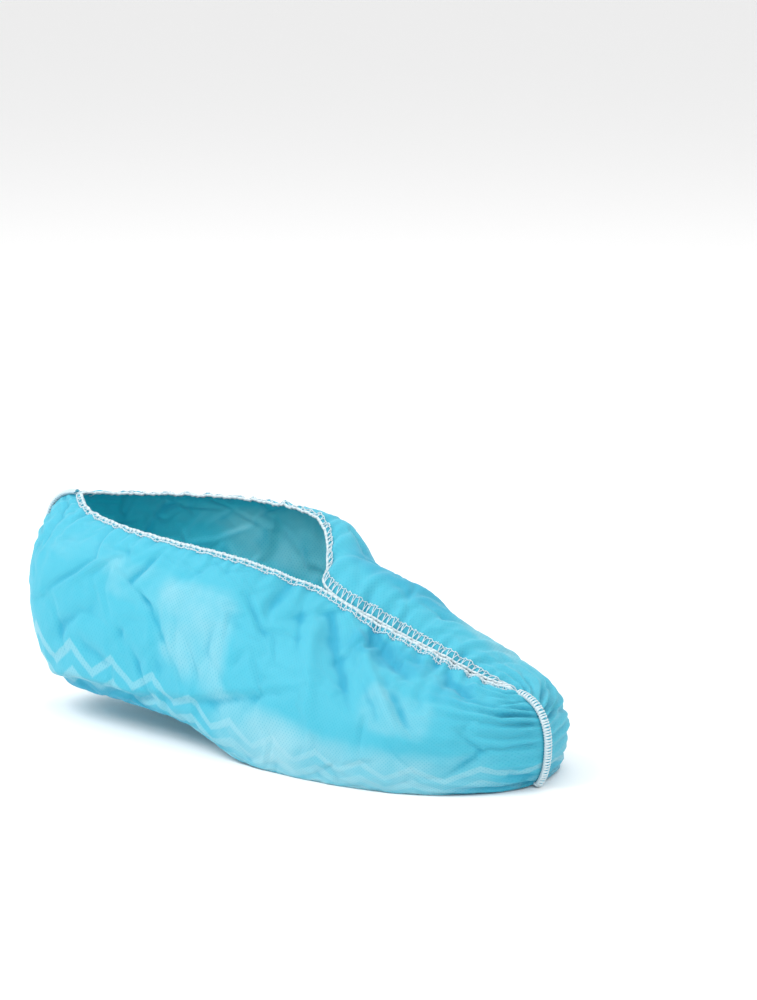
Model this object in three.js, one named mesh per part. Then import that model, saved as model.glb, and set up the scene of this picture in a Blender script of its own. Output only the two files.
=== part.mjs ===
// A disposable nonwoven shoe cover in the form that it has on a foot.
// One sheet is folded along the sole, sewn up at the heel and at the toe, and drawn in by an elastic
// thread round its whole top edge, which closes to a narrow slit over the instep.
// Millimetres. +X points to the toe, +Z up, and -Y is the outer side of a right foot ("near");
// +Y is its inner side ("far"). The origin is on the inside of the sole, where the heel sits.

import * as THREE from "three";
import { mergeVertices } from "three/addons/utils/BufferGeometryUtils.js";

// Driving dimensions
const WALL = 1.2; // thickness of the cloth wall
const GAP = 0.5; // clearance between neighbouring pieces
const ELASTIC_RADIUS = 1;
const ELASTIC_SIDES = 6;
const SEAM_WIDTH = 4.6;
const SEAM_THICKNESS = 1.4;
const SEAM_STEPS = 26;
const SEAM_LIFT = 0.4; // how far the middle of a seam stands off because the cloth curves away under it
const SEAT = { x: 62, y: 0 }; // where the heel sits, from the back of the heel and the centre line
const PANEL = { length: 300, drop: 110 }; // the scale in which folds are placed on each panel

// Mesh density, for each of the two panels
const COLUMNS = 46; // from the heel seam to the toe seam
const UPPER_ROWS = 11; // from the rim to the widest line
const LOWER_ROWS = 5; // from the widest line to the line where the sole starts
const SOLE_ROWS = 3; // from there to the fold under the middle of the foot
const WIDEST_DOWN = 0.66; // the share of a panel's drop that lies above the widest line

// The top edge. "at" runs from the heel seam (0) to the toe seam (1).
const RIM = [
  { at: 0.0, x: 20, nearY: 0, nearZ: 99, farY: 0, farZ: 99 },
  { at: 0.09, x: 36, nearY: -13, nearZ: 95.5, farY: 14, farZ: 99 },
  { at: 0.2, x: 64, nearY: -24, nearZ: 93, farY: 25, farZ: 100 },
  { at: 0.33, x: 100, nearY: -30, nearZ: 91, farY: 30, farZ: 101 },
  { at: 0.46, x: 134, nearY: -26, nearZ: 87, farY: 27, farZ: 100 },
  { at: 0.52, x: 150, nearY: -20, nearZ: 82.5, farY: 19, farZ: 96 },
  { at: 0.56, x: 161, nearY: -14.5, nearZ: 78, farY: 8, farZ: 86 },
  { at: 0.6, x: 170, nearY: -11, nearZ: 74.5, farY: -4.5, farZ: 75.5 },
  { at: 0.7, x: 198, nearY: -8, nearZ: 63, farY: -2.5, farZ: 63.5 },
  { at: 0.82, x: 228, nearY: -6.5, nearZ: 53, farY: -1, farZ: 53.5 },
  { at: 0.94, x: 257, nearY: -5.5, nearZ: 44, farY: 0.5, farZ: 44.5 },
  { at: 0.98, x: 266, nearY: -4.5, nearZ: 41.5, farY: 1.5, farZ: 42 },
  { at: 1.0, x: 271, nearY: -1, nearZ: 40, farY: -1, farZ: 40 },
];

// The widest line of the cover, seen from above, and its height on either side.
const SIDE = [
  { at: 0.0, x: -1, nearY: 0, nearZ: 62, farY: 0, farZ: 62 },
  { at: 0.06, x: 6, nearY: -19, nearZ: 58, farY: 19, farZ: 60 },
  { at: 0.14, x: 26, nearY: -34, nearZ: 50, farY: 33, farZ: 55 },
  { at: 0.27, x: 70, nearY: -42, nearZ: 43, farY: 40, farZ: 50 },
  { at: 0.4, x: 112, nearY: -47, nearZ: 36, farY: 44, farZ: 47 },
  { at: 0.52, x: 150, nearY: -53, nearZ: 27, farY: 48, farZ: 40 },
  { at: 0.65, x: 190, nearY: -56, nearZ: 21, farY: 51, farZ: 31 },
  { at: 0.77, x: 224, nearY: -54, nearZ: 18, farY: 52, farZ: 25 },
  { at: 0.87, x: 252, nearY: -45, nearZ: 17, farY: 48, farZ: 21 },
  { at: 0.95, x: 275, nearY: -25, nearZ: 17, farY: 34, farZ: 19 },
  { at: 1.0, x: 287, nearY: -1, nearZ: 19, farY: -1, farZ: 19 },
];

// How far the sole starts inside the widest line, its height, and the fold under the foot.
const SOLE = [
  { at: 0.0, tuck: 29, z: 12.5, spineX: 46, spineY: 0 },
  { at: 0.14, tuck: 18, z: 12.5, spineX: 60, spineY: 0 },
  { at: 0.27, tuck: 11, z: 13, spineX: 86, spineY: -1 },
  { at: 0.4, tuck: 9, z: 11, spineX: 118, spineY: -2 },
  { at: 0.47, tuck: 7, z: 6.5, spineX: 136, spineY: -2 },
  { at: 0.54, tuck: 4, z: 1.5, spineX: 155, spineY: -2 },
  { at: 0.65, tuck: 3, z: 0, spineX: 184, spineY: -2 },
  { at: 0.77, tuck: 3, z: 0, spineX: 215, spineY: -1 },
  { at: 0.87, tuck: 4, z: 0, spineX: 240, spineY: 0 },
  { at: 1.0, tuck: 8, z: 0.5, spineX: 262, spineY: 0 },
];

// How the cloth leaves the rim: its angle above level in degrees, and how far it keeps that course.
const PUFF = [
  { at: 0.0, nearLift: 4, nearReach: 19, farLift: 4, farReach: 19 },
  { at: 0.14, nearLift: 8, nearReach: 18, farLift: 8, farReach: 17 },
  { at: 0.33, nearLift: 0, nearReach: 14, farLift: 5, farReach: 14 },
  { at: 0.5, nearLift: -14, nearReach: 16, farLift: 18, farReach: 22 },
  { at: 0.56, nearLift: -15, nearReach: 18, farLift: 44, farReach: 36 },
  { at: 0.62, nearLift: -16, nearReach: 21, farLift: 54, farReach: 42 },
  { at: 0.7, nearLift: -14, nearReach: 24, farLift: 55, farReach: 39 },
  { at: 0.82, nearLift: -10, nearReach: 24, farLift: 46, farReach: 30 },
  { at: 0.94, nearLift: 4, nearReach: 16, farLift: 30, farReach: 19 },
  { at: 1.0, nearLift: 0, nearReach: 9, farLift: 0, farReach: 9 },
];

// The main folds, placed on a panel by distance from the heel seam (along) and below the rim (down).
// "height" is how far a fold stands out, or sinks in when negative, and "width" is half its breadth.
const FOLDS = [
  { side: "near", along: 22, down: 12, toAlong: 2, toDown: 50, height: -3, width: 7 },
  { side: "near", along: 48, down: 20, toAlong: 28, toDown: 52, height: -2.4, width: 6 },
  { side: "near", along: 8, down: 88, toAlong: 96, toDown: 92, height: 3.4, width: 7 },
  { side: "near", along: 34, down: 60, toAlong: 62, toDown: 66, height: -2, width: 7 },
  { side: "near", along: 152, down: 18, toAlong: 138, toDown: 60, height: -2.2, width: 7 },
  { side: "near", along: 168, down: 18, toAlong: 176, toDown: 84, height: 2.6, width: 7 },
  { side: "near", along: 184, down: 12, toAlong: 214, toDown: 92, height: 2.8, width: 6 },
  { side: "near", along: 204, down: 18, toAlong: 246, toDown: 34, height: -2.6, width: 7 },
  { side: "near", along: 262, down: 22, toAlong: 240, toDown: 66, height: -2.6, width: 8 },
  { side: "far", along: 60, down: 18, toAlong: 34, toDown: 66, height: -2.4, width: 7 },
  { side: "far", along: 120, down: 20, toAlong: 104, toDown: 80, height: 2.4, width: 8 },
  { side: "far", along: 196, down: 30, toAlong: 210, toDown: 96, height: -2.4, width: 8 },
  { side: "far", along: 250, down: 26, toAlong: 262, toDown: 84, height: 2.2, width: 7 },
];

// Soft waves below the top edge, where the elastic gathers the cloth.
const GATHER = { height: 1.1, pitch: 21, depth: 20 };

const PIECES = {
  fabric_body: { color: 0x54c8e4, roughness: 0.85, metalness: 0 },
  opening_elastic: { color: 0xe9eef0, roughness: 0.8, metalness: 0 },
  toe_seam: { color: 0xdfeaee, roughness: 0.8, metalness: 0 },
  heel_seam: { color: 0xdfeaee, roughness: 0.8, metalness: 0 },
};

// Smooth interpolation of one column of a table (a cubic through its rows).
function column(rows, name, at) {
  const last = rows.length - 1;
  const slope = (i) => {
    const before = rows[Math.max(i - 1, 0)];
    const after = rows[Math.min(i + 1, last)];
    return (after[name] - before[name]) / (after.at - before.at);
  };
  let i = 0;
  while (i < last - 1 && at > rows[i + 1].at) i += 1;
  const span = rows[i + 1].at - rows[i].at;
  const t = (at - rows[i].at) / span;
  const t2 = t * t;
  const t3 = t2 * t;
  return (
    (2 * t3 - 3 * t2 + 1) * rows[i][name] +
    (t3 - 2 * t2 + t) * span * slope(i) +
    (3 * t2 - 2 * t3) * rows[i + 1][name] +
    (t3 - t2) * span * slope(i + 1)
  );
}

function rimPoint(side, at) {
  return new THREE.Vector3(
    column(RIM, "x", at),
    column(RIM, side + "Y", at),
    column(RIM, side + "Z", at),
  );
}

function widestPoint(side, at) {
  return new THREE.Vector3(
    column(SIDE, "x", at),
    column(SIDE, side + "Y", at),
    column(SIDE, side + "Z", at),
  );
}

// The height of the sole: level from the ball of the foot to the toes.
function soleHeight(at) {
  return Math.max(0, column(SOLE, "z", at));
}

function spinePoint(at) {
  return new THREE.Vector3(column(SOLE, "spineX", at), column(SOLE, "spineY", at), soleHeight(at));
}

// The line where the side turns under: the widest line moved in towards the fold under the foot.
function turnPoint(side, at) {
  const point = widestPoint(side, at);
  point.z = soleHeight(at);
  const inward = spinePoint(at).sub(point).setLength(column(SOLE, "tuck", at));
  return point.add(inward);
}

// The smooth form of a panel without its folds. "down" is 0 at the rim, WIDEST_DOWN at the widest
// line, 1 where the sole starts and 2 at the fold under the foot.
function smoothPoint(side, at, down) {
  const widest = widestPoint(side, at);
  const turn = turnPoint(side, at);
  if (down > 1) return turn.lerp(spinePoint(at), down - 1);
  if (down > WIDEST_DOWN) {
    const below = widest.clone().setZ(THREE.MathUtils.lerp(widest.z, turn.z, 0.6));
    const beside = turn.clone().lerp(widest.clone().setZ(turn.z), 0.55);
    const bend = new THREE.CubicBezierCurve3(widest, below, beside, turn);
    return bend.getPoint((down - WIDEST_DOWN) / (1 - WIDEST_DOWN));
  }
  const rim = rimPoint(side, at);
  const lift = THREE.MathUtils.degToRad(column(PUFF, side + "Lift", at));
  const reach = column(PUFF, side + "Reach", at);
  const leaving = widest.clone().sub(rim).setZ(0).setLength(reach * Math.cos(lift));
  leaving.z = reach * Math.sin(lift);
  const above = widest.clone().setZ(THREE.MathUtils.lerp(widest.z, rim.z, 0.6));
  const bend = new THREE.CubicBezierCurve3(rim, rim.clone().add(leaving), above, widest);
  return bend.getPoint(down / WIDEST_DOWN);
}

function outwardNormal(side, at, down) {
  const step = 0.004;
  const a = THREE.MathUtils.clamp(at, step, 1 - step);
  const d = THREE.MathUtils.clamp(down, step, 2 - step);
  const along = smoothPoint(side, a + step, d).sub(smoothPoint(side, a - step, d));
  const downward = smoothPoint(side, a, d + step).sub(smoothPoint(side, a, d - step));
  const normal = downward.cross(along).normalize();
  if (side === "far") normal.negate();
  if (at < step || at > 1 - step) normal.setY(0).normalize();
  if (down > 2 - step) normal.set(0, 0, -1);
  return normal;
}

// Distance from a spot on the panel to a fold's centre line.
function distanceToFold(fold, along, down) {
  const from = new THREE.Vector2(fold.along, fold.down);
  const to = new THREE.Vector2(fold.toAlong, fold.toDown);
  const line = to.clone().sub(from);
  const spot = new THREE.Vector2(along, down);
  const share = spot.clone().sub(from).dot(line) / line.lengthSq();
  const nearest = from.addScaledVector(line, THREE.MathUtils.clamp(share, 0, 1));
  return spot.distanceTo(nearest);
}

// Height of the folds over the smooth form. They fade out at the seams, at the rim and on the sole.
function relief(side, at, down) {
  if (down >= 1) return 0;
  const along = at * PANEL.length;
  const below = down * PANEL.drop;
  const clear = Math.min(1, at / 0.05, (1 - at) / 0.05);
  let height = 0;
  for (const fold of FOLDS) {
    if (fold.side !== side) continue;
    const away = distanceToFold(fold, along, below) / fold.width;
    height += fold.height * Math.exp(-away * away);
  }
  const wave = Math.sin((2 * Math.PI * along) / GATHER.pitch);
  const fading = Math.exp(-below / GATHER.depth) * Math.min(1, below / 6);
  height += GATHER.height * wave * fading;
  const ends = Math.min(1, below / 8, (1 - down) / 0.12);
  return height * clear * ends;
}

// A point on the outside of the cover, or inside it by "depth".
function coverPoint(side, at, down, depth) {
  const height = relief(side, at, down) - depth;
  return smoothPoint(side, at, down).addScaledVector(outwardNormal(side, at, down), height);
}

// The height steps of the mesh from the rim to the fold under the foot.
function meshRows() {
  const rows = [];
  for (let i = 0; i <= UPPER_ROWS; i += 1) rows.push((WIDEST_DOWN * i) / UPPER_ROWS);
  for (let i = 1; i <= LOWER_ROWS; i += 1) {
    rows.push(WIDEST_DOWN + ((1 - WIDEST_DOWN) * i) / LOWER_ROWS);
  }
  for (let i = 1; i <= SOLE_ROWS; i += 1) rows.push(1 + i / SOLE_ROWS);
  return rows;
}

// Once round the cover: up the near panel from the heel to the toe, and back along the far panel.
function roundTrip(count) {
  const stops = [];
  for (let i = 0; i < count; i += 1) stops.push({ side: "near", at: i / count });
  for (let i = 0; i < count; i += 1) stops.push({ side: "far", at: 1 - i / count });
  return stops;
}

// A closed body from rings of points, joined ring to ring, the last to the first when it closes.
function geometryFromRings(rings, closed) {
  const sides = rings[0].length;
  const positions = rings.flat().flatMap((point) => [point.x, point.y, point.z]);
  const faces = [];
  const joins = closed ? rings.length : rings.length - 1;
  for (let i = 0; i < joins; i += 1) {
    const here = i * sides;
    const next = ((i + 1) % rings.length) * sides;
    for (let j = 0; j < sides; j += 1) {
      const k = (j + 1) % sides;
      faces.push(here + j, next + j, next + k, here + j, next + k, here + k);
    }
  }
  if (!closed) {
    const end = joins * sides;
    for (let j = 1; j < sides - 1; j += 1) {
      faces.push(0, j, j + 1);
      faces.push(end, end + j + 1, end + j);
    }
  }
  const geometry = new THREE.BufferGeometry();
  geometry.setAttribute("position", new THREE.Float32BufferAttribute(positions, 3));
  geometry.setIndex(faces);
  return mergeVertices(geometry, 1e-3);
}

// The cloth wall: an outer and an inner sheet, each a grid of columns round the cover and rows down
// it, joined by a strip along the rim. The two panels share their points at the fold under the foot.
function fabricGeometry() {
  const rows = meshRows();
  const stops = roundTrip(COLUMNS);
  const points = [];
  for (const depth of [0, WALL]) {
    for (const { side, at } of stops) {
      for (const down of rows) points.push(coverPoint(side, at, down, depth));
    }
  }
  const sheet = stops.length * rows.length;
  const last = rows.length - 1;
  const faces = [];
  const addQuad = (a, b, c, d) => faces.push(a, b, c, a, c, d);
  for (let i = 0; i < stops.length; i += 1) {
    const here = i * rows.length;
    const next = ((i + 1) % stops.length) * rows.length;
    for (let j = 0; j < last; j += 1) {
      addQuad(here + j, here + j + 1, next + j + 1, next + j);
      addQuad(sheet + here + j, sheet + next + j, sheet + next + j + 1, sheet + here + j + 1);
    }
    addQuad(here, next, sheet + next, sheet + here);
  }
  const geometry = new THREE.BufferGeometry();
  const values = points.flatMap((point) => [point.x, point.y, point.z]);
  geometry.setAttribute("position", new THREE.Float32BufferAttribute(values, 3));
  geometry.setIndex(faces);
  return mergeVertices(geometry, 1e-3);
}

// The elastic thread lies along the edge of the cloth, past it by the gap, in the middle of the wall.
function elasticCentres() {
  const stops = roundTrip(COLUMNS);
  const edge = stops.map(({ side, at }) => coverPoint(side, at, 0, WALL / 2));
  return stops.map(({ side, at }, i) => {
    const before = edge[(i + edge.length - 1) % edge.length];
    const after = edge[(i + 1) % edge.length];
    const along = after.clone().sub(before).normalize();
    const away = edge[i].clone().sub(coverPoint(side, at, 0.03, WALL / 2));
    away.addScaledVector(along, -away.dot(along)).setLength(GAP + ELASTIC_RADIUS);
    return away.add(edge[i]);
  });
}

function elasticGeometry() {
  const centres = elasticCentres();
  const path = new THREE.CatmullRomCurve3(centres, true);
  const steps = centres.length;
  const rings = [];
  for (let i = 0; i < steps; i += 1) {
    const centre = path.getPoint(i / steps);
    const tangent = path.getTangent(i / steps);
    const sideways = tangent.clone().cross(new THREE.Vector3(0, 0, 1)).normalize();
    const upright = sideways.clone().cross(tangent);
    const ring = [];
    for (let j = 0; j < ELASTIC_SIDES; j += 1) {
      const angle = (2 * Math.PI * j) / ELASTIC_SIDES;
      const point = centre.clone();
      point.addScaledVector(sideways, ELASTIC_RADIUS * Math.cos(angle));
      point.addScaledVector(upright, ELASTIC_RADIUS * Math.sin(angle));
      ring.push(point);
    }
    rings.push(ring);
  }
  return geometryFromRings(rings, true);
}

// An overlocked seam: a flat band on the outside of the cover, where its two panels meet.
function seamGeometry(at, fromDown, toDown) {
  const rings = [];
  const across = new THREE.Vector3(0, at === 0 ? -SEAM_WIDTH : SEAM_WIDTH, 0);
  for (let i = 0; i <= SEAM_STEPS; i += 1) {
    const down = THREE.MathUtils.lerp(fromDown, toDown, i / SEAM_STEPS);
    const normal = outwardNormal("near", at, down);
    const base = smoothPoint("near", at, down);
    const ring = [];
    for (const [share, out] of [[-0.5, 0], [-0.32, 1], [0.32, 1], [0.5, 0]]) {
      const point = base.clone().addScaledVector(normal, GAP + SEAM_LIFT + out * SEAM_THICKNESS);
      ring.push(point.addScaledVector(across, share));
    }
    rings.push(ring);
  }
  return geometryFromRings(rings, false);
}

function mesh(name, geometry) {
  const made = new THREE.Mesh(geometry, new THREE.MeshStandardMaterial(PIECES[name]));
  made.name = name;
  return made;
}

const cover = new THREE.Group();
cover.add(mesh("fabric_body", fabricGeometry()));
cover.add(mesh("opening_elastic", elasticGeometry()));
cover.add(mesh("toe_seam", seamGeometry(1, 0.06, 0.9)));
cover.add(mesh("heel_seam", seamGeometry(0, 0.06, 0.86)));

const seatHeight = soleHeight(0.16) + WALL;
cover.position.set(-SEAT.x, -SEAT.y, -seatHeight);

export default cover;
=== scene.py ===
"""A disposable shoe cover in its worn form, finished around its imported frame.

One flat sheet is shaped to the foot, gathered by a simulation and given its thickness; the elastic,
the seams and the overlock thread are then laid on it. Lengths in the tables are millimetres from the
back of the heel, the centre line and the floor under the ball of the foot.
"""

import math
import random

import bmesh
import bpy
import numpy as np
from bpy.props import FloatProperty, FloatVectorProperty, IntProperty, PointerProperty
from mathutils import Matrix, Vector


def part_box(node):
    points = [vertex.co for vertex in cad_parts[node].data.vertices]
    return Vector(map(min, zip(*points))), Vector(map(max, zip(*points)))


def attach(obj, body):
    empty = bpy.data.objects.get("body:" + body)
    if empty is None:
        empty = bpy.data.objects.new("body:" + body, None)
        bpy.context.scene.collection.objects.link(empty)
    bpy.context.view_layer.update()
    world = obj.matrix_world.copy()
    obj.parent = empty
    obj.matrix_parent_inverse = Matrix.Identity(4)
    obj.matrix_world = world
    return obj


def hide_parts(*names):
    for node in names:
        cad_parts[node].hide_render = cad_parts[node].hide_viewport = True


bl_info = {
    "name": "Shoe cover",
    "version": (1, 0, 0),
    "blender": (4, 5, 0),
    "location": "View3D > Sidebar > Shoe cover",
    "description": "Builds a gathered nonwoven shoe cover and its studio",
    "category": "Object",
}

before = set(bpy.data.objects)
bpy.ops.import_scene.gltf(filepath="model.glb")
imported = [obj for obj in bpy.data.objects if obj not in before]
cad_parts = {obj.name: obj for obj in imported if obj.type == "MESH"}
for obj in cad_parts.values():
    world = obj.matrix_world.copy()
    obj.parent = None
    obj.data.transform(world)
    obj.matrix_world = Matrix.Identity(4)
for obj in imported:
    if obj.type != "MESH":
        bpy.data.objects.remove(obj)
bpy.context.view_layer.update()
FLOOR_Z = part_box("fabric_body")[0][2]

MM = 0.001
SEAT_X = 62 * MM  # the frame's origin lies this far from the back of the heel
ROOT = "root"


def table(columns, *rows):
    """Rows of numbers under named columns."""
    names = columns.split()
    return [dict(zip(names, row, strict=True)) for row in rows]


# The top edge, from the heel seam (at 0) to the toe seam (at 1). The near side is the foot's outer side.
RIM = table(
    "at x near_y near_z far_y far_z",
    (0.0, 20, 0, 99, 0, 99),
    (0.09, 36, -13, 95.5, 14, 99),
    (0.2, 64, -24, 93, 25, 100),
    (0.33, 100, -30, 91, 30, 101),
    (0.46, 134, -26, 87, 27, 100),
    (0.52, 150, -20, 82.5, 19, 96),
    (0.56, 161, -14.5, 78, 8, 86),
    (0.6, 170, -9.4, 74.5, -5.6, 75.5),
    (0.7, 198, -6.7, 63, -3.9, 63.5),
    (0.82, 228, -5.2, 53, -2.3, 53.5),
    (0.94, 257, -3.9, 44, -1, 44.5),
    (0.98, 266, -3, 41.5, 0, 42),
    (1.0, 271, -1, 40, -1, 40),
)

# The widest line seen from above, and its height on either side.
SIDE = table(
    "at x near_y near_z far_y far_z",
    (0.0, -1, 0, 62, 0, 62),
    (0.06, 6, -19, 58, 19, 60),
    (0.14, 26, -34, 50, 33, 55),
    (0.27, 70, -42, 43, 40, 50),
    (0.4, 112, -47, 36, 44, 47),
    (0.52, 150, -53, 27, 48, 40),
    (0.65, 190, -56, 21, 51, 31),
    (0.77, 224, -54, 18, 52, 25),
    (0.87, 252, -45, 17, 48, 21),
    (0.95, 275, -25, 17, 34, 19),
    (1.0, 287, -1, 19, -1, 19),
)

# How far the sole starts inside the widest line, its height, and the fold under the foot.
SOLE = table(
    "at tuck z spine_x spine_y",
    (0.0, 29, 12.5, 46, 0),
    (0.14, 18, 12.5, 60, 0),
    (0.27, 11, 13, 86, -1),
    (0.4, 9, 11, 118, -2),
    (0.47, 7, 6.5, 136, -2),
    (0.54, 4, 1.5, 155, -2),
    (0.65, 3, 0, 184, -2),
    (0.77, 3, 0, 215, -1),
    (0.87, 4, 0, 240, 0),
    (1.0, 8, 0.5, 262, 0),
)

# How the cloth leaves the rim: its angle above level in degrees, and how far it keeps that course.
PUFF = table(
    "at near_lift near_reach far_lift far_reach",
    (0.0, 0, 19, 0, 19),
    (0.14, -14, 18, 4, 17),
    (0.33, -32, 15, 5, 14),
    (0.5, -38, 17, 18, 22),
    (0.56, -38, 19, 44, 36),
    (0.62, -34, 22, 54, 42),
    (0.7, -28, 24, 55, 39),
    (0.82, -18, 24, 46, 30),
    (0.94, 0, 16, 30, 19),
    (1.0, 0, 9, 0, 9),
)

PANEL_LENGTH = 300  # the scale in which folds are placed: along a panel from the heel seam
PANEL_DROP = 110  # and down it from the rim to where the sole starts
WIDEST_DOWN = 0.66  # the share of the drop that lies above the widest line


def fold(side, kind, height, width, *path):
    """One fold of a panel: its kind, height and half width, and its line as (along, down) points."""
    return {"side": side, "kind": kind, "height": height, "width": width, "path": path}


# A crease is a sharp valley, a ridge stands out, a hollow is a broad valley, and a lip is an edge of
# cloth that hangs over the tuck on its lower side (on the right of its line).
FOLDS = (
    fold("near", "lip", 1.0, 2.6, (62, 4), (70, 33), (62, 47), (44, 65)),
    fold("near", "crease", 1.8, 2.6, (101, 9), (98, 28), (92, 44)),
    fold("near", "crease", 1.2, 2.2, (101, 45), (108, 50)),
    fold("near", "crease", 1.3, 2.6, (90, 65), (92, 69)),
    fold("near", "crease", 1.2, 3.0, (68, 65), (47, 81)),
    fold("near", "crease", 1.0, 3.0, (62, 76), (84, 80)),
    fold("near", "lip", 2.2, 3.6, (24, 99), (60, 92), (97, 91), (127, 81)),
    fold("near", "lip", 1.1, 2.6, (120, 84), (153, 70), (171, 64), (196, 52)),
    fold("near", "crease", 1.0, 2.2, (156, 60), (164, 47)),
    fold("near", "crease", 1.5, 2.6, (164, 6), (164, 24), (168, 34)),
    fold("near", "crease", 1.3, 2.4, (153, 22), (169, 38)),
    fold("near", "ridge", 2.2, 4.5, (180, 6), (188, 24), (198, 44), (206, 70)),
    fold("near", "hollow", 2.0, 4.5, (189, 4), (199, 22), (212, 35), (224, 52)),
    fold("near", "ridge", 2.6, 4.2, (194, 3), (209, 13), (226, 29), (240, 44), (256, 66)),
    fold("near", "hollow", 3.0, 5.0, (205, 3), (226, 12), (246, 22)),
    fold("near", "ridge", 1.6, 4.0, (222, 5), (236, 13), (250, 20)),
    fold("near", "hollow", 3.0, 5.0, (256, 6), (268, 17), (284, 32)),
    fold("near", "crease", 1.2, 2.2, (297, 24), (286, 30)),
    fold("near", "crease", 1.2, 2.2, (298, 36), (285, 44)),
    fold("far", "hollow", 2.0, 5.0, (60, 8), (44, 66)),
    fold("far", "ridge", 2.0, 5.0, (120, 12), (104, 84)),
    fold("far", "crease", 1.6, 2.6, (150, 8), (140, 50)),
    fold("far", "crease", 1.4, 2.6, (176, 10), (190, 40), (196, 74)),
    fold("far", "ridge", 1.8, 4.0, (196, 8), (214, 40), (220, 90)),
    fold("far", "hollow", 2.0, 4.0, (228, 8), (246, 40), (250, 84)),
    fold("far", "crease", 1.4, 2.4, (297, 30), (282, 40)),
    fold("far", "crease", 1.4, 2.4, (297, 48), (280, 62)),
    fold("far", "lip", 2.4, 4.0, (150, 84), (110, 92), (60, 92), (24, 99)),
)


class CoverCloth(bpy.types.PropertyGroup):
    """The sheet that the cover is folded from, and how it is gathered."""

    cut_length: FloatProperty(
        name="Cut length", description="Length of the flat sheet", default=0.38, unit="LENGTH"
    )
    cut_width: FloatProperty(
        name="Cut width", description="Width of the flat sheet", default=0.29, unit="LENGTH"
    )
    thickness: FloatProperty(
        name="Thickness", description="Thickness of the cloth", default=0.0004, unit="LENGTH"
    )
    columns: IntProperty(name="Columns", description="Mesh steps from heel to toe", default=224)
    rows: IntProperty(name="Rows", description="Mesh steps from rim to rim", default=184)
    settling: IntProperty(
        name="Settling", description="Frames that the simulation runs for", default=34
    )
    slack: FloatProperty(
        name="Slack", description="Spare cloth away from the rim", default=0.015, subtype="FACTOR"
    )
    gather: FloatProperty(
        name="Gather", description="Spare cloth at the rim", default=0.15, subtype="FACTOR"
    )


class CoverThread(bpy.types.PropertyGroup):
    """The elastic and the overlock thread."""

    elastic_radius: FloatProperty(
        name="Elastic radius", description="Radius of the elastic", default=0.0006, unit="LENGTH"
    )
    thread_radius: FloatProperty(
        name="Thread radius", description="Radius of the thread", default=0.00021, unit="LENGTH"
    )
    pitch: FloatProperty(
        name="Stitch pitch", description="Distance between stitches", default=0.0029, unit="LENGTH"
    )
    bite: FloatProperty(
        name="Bite", description="How far a stitch reaches in", default=0.0032, unit="LENGTH"
    )


class CoverColours(bpy.types.PropertyGroup):
    """The colours of the cover."""

    cloth: FloatVectorProperty(
        name="Cloth", description="Cloth away from the foot", default=(0.040, 0.41, 0.56),
        subtype="COLOR", size=3,
    )
    pale: FloatVectorProperty(
        name="Pale cloth", description="Cloth that lies on the foot", default=(0.26, 0.55, 0.64),
        subtype="COLOR", size=3,
    )
    # Painted shade: the darker colour painted into deep folds and tucks; the bond points use it too.
    deep: FloatVectorProperty(
        name="Deep cloth", description="Cloth in deep folds", default=(0.002, 0.31, 0.48),
        subtype="COLOR", size=3,
    )
    thread: FloatVectorProperty(
        name="Thread", description="Elastic and thread", default=(0.66, 0.73, 0.76),
        subtype="COLOR", size=3,
    )


class CoverStudio(bpy.types.PropertyGroup):
    """The camera and the light."""

    azimuth: FloatProperty(
        name="Azimuth", description="Camera's turn to the toe", default=math.radians(38), subtype="ANGLE"
    )
    elevation: FloatProperty(
        name="Elevation", description="Camera's height", default=math.radians(13), subtype="ANGLE"
    )
    distance: FloatProperty(
        name="Distance", description="Camera's distance", default=1.8, unit="LENGTH"
    )


# ---- The worn form ----


def column(rows, name, at):
    """One column of a table at the places at, by a smooth cubic through its rows."""
    places = np.array([row["at"] for row in rows])
    values = np.array([row[name] for row in rows], dtype=float)
    order = np.arange(len(rows))
    before, after = np.maximum(order - 1, 0), np.minimum(order + 1, len(rows) - 1)
    slopes = (values[after] - values[before]) / (places[after] - places[before])
    i = np.clip(np.searchsorted(places, at, side="right") - 1, 0, len(rows) - 2)
    span = places[i + 1] - places[i]
    t = (at - places[i]) / span
    return (
        (2 * t**3 - 3 * t**2 + 1) * values[i]
        + (t**3 - 2 * t**2 + t) * span * slopes[i]
        + (3 * t**2 - 2 * t**3) * values[i + 1]
        + (t**3 - t**2) * span * slopes[i + 1]
    )


def points(x, y, z):
    return np.stack([x, y, z], axis=-1)


def with_height(point, z):
    return points(point[..., 0], point[..., 1], z)


def unit(vectors):
    return vectors / np.linalg.norm(vectors, axis=-1, keepdims=True)


def bezier(a, b, c, d, t):
    t = t[..., None]
    return a * (1 - t) ** 3 + 3 * b * t * (1 - t) ** 2 + 3 * c * t**2 * (1 - t) + d * t**3


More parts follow.
